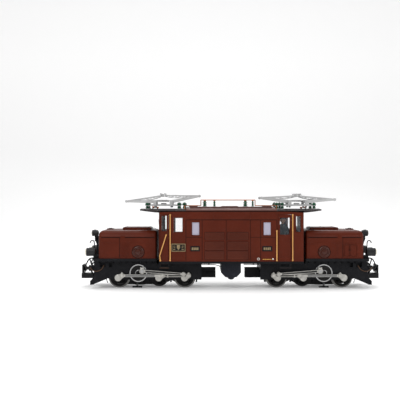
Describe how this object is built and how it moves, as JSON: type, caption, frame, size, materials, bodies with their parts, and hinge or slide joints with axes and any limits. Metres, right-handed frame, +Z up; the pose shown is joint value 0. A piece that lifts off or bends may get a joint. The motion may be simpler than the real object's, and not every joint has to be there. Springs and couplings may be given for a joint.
{
  "type": "model electric locomotive",
  "caption": "Narrow-gauge model electric locomotive: a cab body on two hooded bogies with side rods and folding pantographs.",
  "frame": {"origin": "middle of the locomotive on the rail line, at the lowest point of the flanges", "axes": "+X along the track, +Y across it away from the viewed side, +Z up"},
  "size_m": [0.55, 0.1258, 0.1717],
  "materials": {
    "brown_paint": "satin brown paint",
    "roof_brown": "matt brown-grey paint",
    "roof_dark": "matt anthracite paint",
    "frame_dark": "satin anthracite paint",
    "underbox": "dark blue-grey paint",
    "clear_glass": "clear panes, some frosted",
    "yellow_rail": "yellow-orange paint",
    "green_insulator": "glossy green glaze",
    "copper": "copper conductor",
    "brass_plate": "aged brass plates",
    "desk_grey": "dark grey desk",
    "figure_plastic": "painted plastic figure",
    "panto_silver": "silver paint",
    "nickel": "nickel plate",
    "wheel_metal": "turned tyres, dark centres",
    "gear_plastic": "black gear case",
    "motor_steel": "bright steel",
    "lamp_black": "black lamp housing",
    "lamp_lens": "warm white lens",
    "coupler_black": "black moulded coupler",
    "contact_brass": "worn contact metal"
  },
  "bodies": {
    "centre_body": {"underframe": "frame_dark", "body_shell": "brown_paint", "main_roof": "roof_brown", "cab_roofs": "roof_dark", "glazing": "clear_glass", "handrails": "yellow_rail", "transformer_box": "underbox", "roof_insulators": "green_insulator", "roof_conductor": "copper", "cast_plates": "brass_plate", "control_desks": "desk_grey", "driver_figure": "figure_plastic", "left_panto_base": "panto_silver", "right_panto_base": "panto_silver"},
    "left_bogie": {"left_bogie_frame": "frame_dark", "left_hood": "brown_paint", "left_gearbox": "gear_plastic", "left_motor_can": "motor_steel", "left_lamp_housings": "lamp_black", "left_lamp_lenses": "lamp_lens"},
    "left_wheelset_outer": {"left_wheelset_outer": "wheel_metal"},
    "left_wheelset_middle": {"left_wheelset_middle": "wheel_metal"},
    "left_wheelset_inner": {"left_wheelset_inner": "wheel_metal"},
    "left_jackshaft": {"left_jackshaft": "nickel"},
    "left_motor_rotor": {"left_motor_rotor": "motor_steel"},
    "left_rods_near": {"left_rods_near": "nickel"},
    "left_rods_far": {"left_rods_far": "nickel"},
    "left_coupler": {"left_coupler": "coupler_black"},
    "left_buffer": {"left_buffer": "coupler_black"},
    "left_pickup_shoes": {"left_pickup_shoes": "contact_brass"},
    "left_panto_lower_arm_outer": {"left_panto_lower_arm_outer": "panto_silver"},
    "left_panto_upper_arm_outer": {"left_panto_upper_arm_outer": "panto_silver"},
    "left_panto_lower_arm_inner": {"left_panto_lower_arm_inner": "panto_silver"},
    "left_panto_upper_arm_inner": {"left_panto_upper_arm_inner": "panto_silver"},
    "left_panto_head": {"left_panto_head": "panto_silver"},
    "right_bogie": {"right_bogie_frame": "frame_dark", "right_hood": "brown_paint", "right_gearbox": "gear_plastic", "right_motor_can": "motor_steel", "right_lamp_housings": "lamp_black", "right_lamp_lenses": "lamp_lens"},
    "right_wheelset_outer": {"right_wheelset_outer": "wheel_metal"},
    "right_wheelset_middle": {"right_wheelset_middle": "wheel_metal"},
    "right_wheelset_inner": {"right_wheelset_inner": "wheel_metal"},
    "right_jackshaft": {"right_jackshaft": "nickel"},
    "right_motor_rotor": {"right_motor_rotor": "motor_steel"},
    "right_rods_near": {"right_rods_near": "nickel"},
    "right_rods_far": {"right_rods_far": "nickel"},
    "right_coupler": {"right_coupler": "coupler_black"},
    "right_buffer": {"right_buffer": "coupler_black"},
    "right_pickup_shoes": {"right_pickup_shoes": "contact_brass"},
    "right_panto_lower_arm_outer": {"right_panto_lower_arm_outer": "panto_silver"},
    "right_panto_upper_arm_outer": {"right_panto_upper_arm_outer": "panto_silver"},
    "right_panto_lower_arm_inner": {"right_panto_lower_arm_inner": "panto_silver"},
    "right_panto_upper_arm_inner": {"right_panto_upper_arm_inner": "panto_silver"},
    "right_panto_head": {"right_panto_head": "panto_silver"},
    "left_narrow_door": {"left_narrow_door": "brown_paint"},
    "right_wide_door": {"right_wide_door": "brown_paint"},
    "left_wide_door": {"left_wide_door": "brown_paint"},
    "right_narrow_door": {"right_narrow_door": "brown_paint"}
  },
  "joints": [
    {"name": "left_bogie_swing", "type": "hinge", "parent": "centre_body", "child": "left_bogie", "pos_m": [-0.107, 0, 0.045], "axis": [0, 0, 1], "range_deg": [-4.5, 4.5]},
    {"name": "left_outer_wheels_spin", "type": "hinge", "parent": "left_bogie", "child": "left_wheelset_outer", "pos_m": [-0.203, 0, 0.02], "axis": [0, 1, 0], "continuous": true},
    {"name": "left_middle_wheels_spin", "type": "hinge", "parent": "left_bogie", "child": "left_wheelset_middle", "pos_m": [-0.13, 0, 0.02], "axis": [0, 1, 0], "continuous": true},
    {"name": "left_inner_wheels_spin", "type": "hinge", "parent": "left_bogie", "child": "left_wheelset_inner", "pos_m": [-0.0835, 0, 0.02], "axis": [0, 1, 0], "continuous": true},
    {"name": "left_jackshaft_spin", "type": "hinge", "parent": "left_bogie", "child": "left_jackshaft", "pos_m": [-0.1667, 0, 0.0285], "axis": [0, 1, 0], "continuous": true},
    {"name": "left_motor_spin", "type": "hinge", "parent": "left_bogie", "child": "left_motor_rotor", "pos_m": [-0.148, 0, 0.0335], "axis": [1, 0, 0], "continuous": true},
    {"name": "left_rods_near_turn", "type": "hinge", "parent": "left_wheelset_outer", "child": "left_rods_near", "pos_m": [-0.19581, -0.0455, 0.02415], "axis": [0, 1, 0], "continuous": true},
    {"name": "left_rods_far_turn", "type": "hinge", "parent": "left_wheelset_outer", "child": "left_rods_far", "pos_m": [-0.20715, 0.0455, 0.02719], "axis": [0, 1, 0], "continuous": true},
    {"name": "left_coupler_swing", "type": "hinge", "parent": "left_bogie", "child": "left_coupler", "pos_m": [-0.242, 0, 0.018], "axis": [0, 0, 1], "range_deg": [-14, 14], "stiffness_Nm_per_rad": 0.002},
    {"name": "left_buffer_push", "type": "slide", "parent": "left_bogie", "child": "left_buffer", "axis": [1, 0, 0], "range_m": [0, 0.003], "stiffness_N_per_m": 400, "springref_m": -0.0005},
    {"name": "left_pickup_lift", "type": "slide", "parent": "left_bogie", "child": "left_pickup_shoes", "axis": [0, 0, 1], "range_m": [0, 0.0025], "stiffness_N_per_m": 60, "springref_m": -0.003},
    {"name": "left_panto_lower_arm_outer_raise", "type": "hinge", "parent": "centre_body", "child": "left_panto_lower_arm_outer", "pos_m": [-0.1382, 0, 0.157], "axis": [0, 1, 0], "range_deg": [0, 44.4]},
    {"name": "left_panto_upper_arm_outer_fold", "type": "hinge", "parent": "left_panto_lower_arm_outer", "child": "left_panto_upper_arm_outer", "pos_m": [-0.1907, 0, 0.15755], "axis": [0, -1, 0], "range_deg": [0, 74.48]},
    {"name": "left_panto_lower_arm_inner_raise", "type": "hinge", "parent": "centre_body", "child": "left_panto_lower_arm_inner", "pos_m": [-0.1082, 0, 0.157], "axis": [0, -1, 0], "range_deg": [0, 33.8]},
    {"name": "left_panto_upper_arm_inner_fold", "type": "hinge", "parent": "left_panto_lower_arm_inner", "child": "left_panto_upper_arm_inner", "pos_m": [-0.0567, 0, 0.1672], "axis": [0, 1, 0], "range_deg": [0, 72.11]},
    {"name": "left_panto_head_level", "type": "hinge", "parent": "left_panto_upper_arm_outer", "child": "left_panto_head", "pos_m": [-0.12414, 0, 0.16847], "axis": [0, 1, 0], "range_deg": [0, 30.08]},
    {"name": "right_bogie_swing", "type": "hinge", "parent": "centre_body", "child": "right_bogie", "pos_m": [0.107, 0, 0.045], "axis": [0, 0, 1], "range_deg": [-4.5, 4.5]},
    {"name": "right_outer_wheels_spin", "type": "hinge", "parent": "right_bogie", "child": "right_wheelset_outer", "pos_m": [0.203, 0, 0.02], "axis": [0, 1, 0], "continuous": true},
    {"name": "right_middle_wheels_spin", "type": "hinge", "parent": "right_bogie", "child": "right_wheelset_middle", "pos_m": [0.13, 0, 0.02], "axis": [0, 1, 0], "continuous": true},
    {"name": "right_inner_wheels_spin", "type": "hinge", "parent": "right_bogie", "child": "right_wheelset_inner", "pos_m": [0.0835, 0, 0.02], "axis": [0, 1, 0], "continuous": true},
    {"name": "right_jackshaft_spin", "type": "hinge", "parent": "right_bogie", "child": "right_jackshaft", "pos_m": [0.1667, 0, 0.0285], "axis": [0, 1, 0], "continuous": true},
    {"name": "right_motor_spin", "type": "hinge", "parent": "right_bogie", "child": "right_motor_rotor", "pos_m": [0.148, 0, 0.0335], "axis": [1, 0, 0], "continuous": true},
    {"name": "right_rods_near_turn", "type": "hinge", "parent": "right_wheelset_outer", "child": "right_rods_near", "pos_m": [0.19581, -0.0455, 0.02415], "axis": [0, 1, 0], "continuous": true},
    {"name": "right_rods_far_turn", "type": "hinge", "parent": "right_wheelset_outer", "child": "right_rods_far", "pos_m": [0.20715, 0.0455, 0.02719], "axis": [0, 1, 0], "continuous": true},
    {"name": "right_coupler_swing", "type": "hinge", "parent": "right_bogie", "child": "right_coupler", "pos_m": [0.242, 0, 0.018], "axis": [0, 0, 1], "range_deg": [-14, 14], "stiffness_Nm_per_rad": 0.002},
    {"name": "right_buffer_push", "type": "slide", "parent": "right_bogie", "child": "right_buffer", "axis": [-1, 0, 0], "range_m": [0, 0.003], "stiffness_N_per_m": 400, "springref_m": -0.0005},
    {"name": "right_pickup_lift", "type": "slide", "parent": "right_bogie", "child": "right_pickup_shoes", "axis": [0, 0, 1], "range_m": [0, 0.0025], "stiffness_N_per_m": 60, "springref_m": -0.003},
    {"name": "right_panto_lower_arm_outer_raise", "type": "hinge", "parent": "centre_body", "child": "right_panto_lower_arm_outer", "pos_m": [0.1386, 0, 0.157], "axis": [0, -1, 0], "range_deg": [0, 40.8]},
    {"name": "right_panto_upper_arm_outer_fold", "type": "hinge", "parent": "right_panto_lower_arm_outer", "child": "right_panto_upper_arm_outer", "pos_m": [0.19096, 0, 0.16084], "axis": [0, 1, 0], "range_deg": [0, 74.2]},
    {"name": "right_panto_lower_arm_inner_raise", "type": "hinge", "parent": "centre_body", "child": "right_panto_lower_arm_inner", "pos_m": [0.1086, 0, 0.157], "axis": [0, 1, 0], "range_deg": [0, 37.5]},
    {"name": "right_panto_upper_arm_inner_fold", "type": "hinge", "parent": "right_panto_lower_arm_inner", "child": "right_panto_upper_arm_inner", "pos_m": [0.05655, 0, 0.16385], "axis": [0, -1, 0], "range_deg": [0, 73.46]},
    {"name": "right_panto_head_level", "type": "hinge", "parent": "right_panto_upper_arm_inner", "child": "right_panto_head", "pos_m": [0.12388, 0, 0.16789], "axis": [0, 1, 0], "range_deg": [0, 35.96]},
    {"name": "left_narrow_door_open", "type": "hinge", "parent": "centre_body", "child": "left_narrow_door", "pos_m": [-0.1123, -0.0574, 0.092], "axis": [0, 0, -1], "range_deg": [0, 75]},
    {"name": "right_wide_door_open", "type": "hinge", "parent": "centre_body", "child": "right_wide_door", "pos_m": [0.0843, -0.0574, 0.092], "axis": [0, 0, 1], "range_deg": [0, 75]},
    {"name": "left_wide_door_open", "type": "hinge", "parent": "centre_body", "child": "left_wide_door", "pos_m": [-0.0843, 0.0574, 0.092], "axis": [0, 0, 1], "range_deg": [0, 75]},
    {"name": "right_narrow_door_open", "type": "hinge", "parent": "centre_body", "child": "right_narrow_door", "pos_m": [0.1123, 0.0574, 0.092], "axis": [0, 0, -1], "range_deg": [0, 75]}
  ],
  "couplings": [
    {"joint": "left_middle_wheels_spin", "follows": "left_outer_wheels_spin", "ratio": 1},
    {"joint": "left_inner_wheels_spin", "follows": "left_outer_wheels_spin", "ratio": 1},
    {"joint": "left_jackshaft_spin", "follows": "left_outer_wheels_spin", "ratio": 1},
    {"joint": "left_motor_spin", "follows": "left_outer_wheels_spin", "ratio": 20},
    {"joint": "left_rods_near_turn", "follows": "left_outer_wheels_spin", "ratio": -1},
    {"joint": "left_rods_far_turn", "follows": "left_outer_wheels_spin", "ratio": -1},
    {"joint": "left_panto_upper_arm_outer_fold", "follows": "left_panto_lower_arm_outer_raise", "ratio": 1.6774},
    {"joint": "left_panto_lower_arm_inner_raise", "follows": "left_panto_lower_arm_outer_raise", "ratio": 0.76126},
    {"joint": "left_panto_upper_arm_inner_fold", "follows": "left_panto_lower_arm_outer_raise", "ratio": 1.6241},
    {"joint": "left_panto_head_level", "follows": "left_panto_lower_arm_outer_raise", "ratio": 0.67738},
    {"joint": "right_middle_wheels_spin", "follows": "right_outer_wheels_spin", "ratio": 1},
    {"joint": "right_inner_wheels_spin", "follows": "right_outer_wheels_spin", "ratio": 1},
    {"joint": "right_jackshaft_spin", "follows": "right_outer_wheels_spin", "ratio": 1},
    {"joint": "right_motor_spin", "follows": "right_outer_wheels_spin", "ratio": 20},
    {"joint": "right_rods_near_turn", "follows": "right_outer_wheels_spin", "ratio": -1},
    {"joint": "right_rods_far_turn", "follows": "right_outer_wheels_spin", "ratio": -1},
    {"joint": "right_panto_upper_arm_outer_fold", "follows": "right_panto_lower_arm_outer_raise", "ratio": 1.8186},
    {"joint": "right_panto_lower_arm_inner_raise", "follows": "right_panto_lower_arm_outer_raise", "ratio": 0.91912},
    {"joint": "right_panto_upper_arm_inner_fold", "follows": "right_panto_lower_arm_outer_raise", "ratio": 1.8006},
    {"joint": "right_panto_head_level", "follows": "right_panto_lower_arm_outer_raise", "ratio": 0.88147}
  ]
}
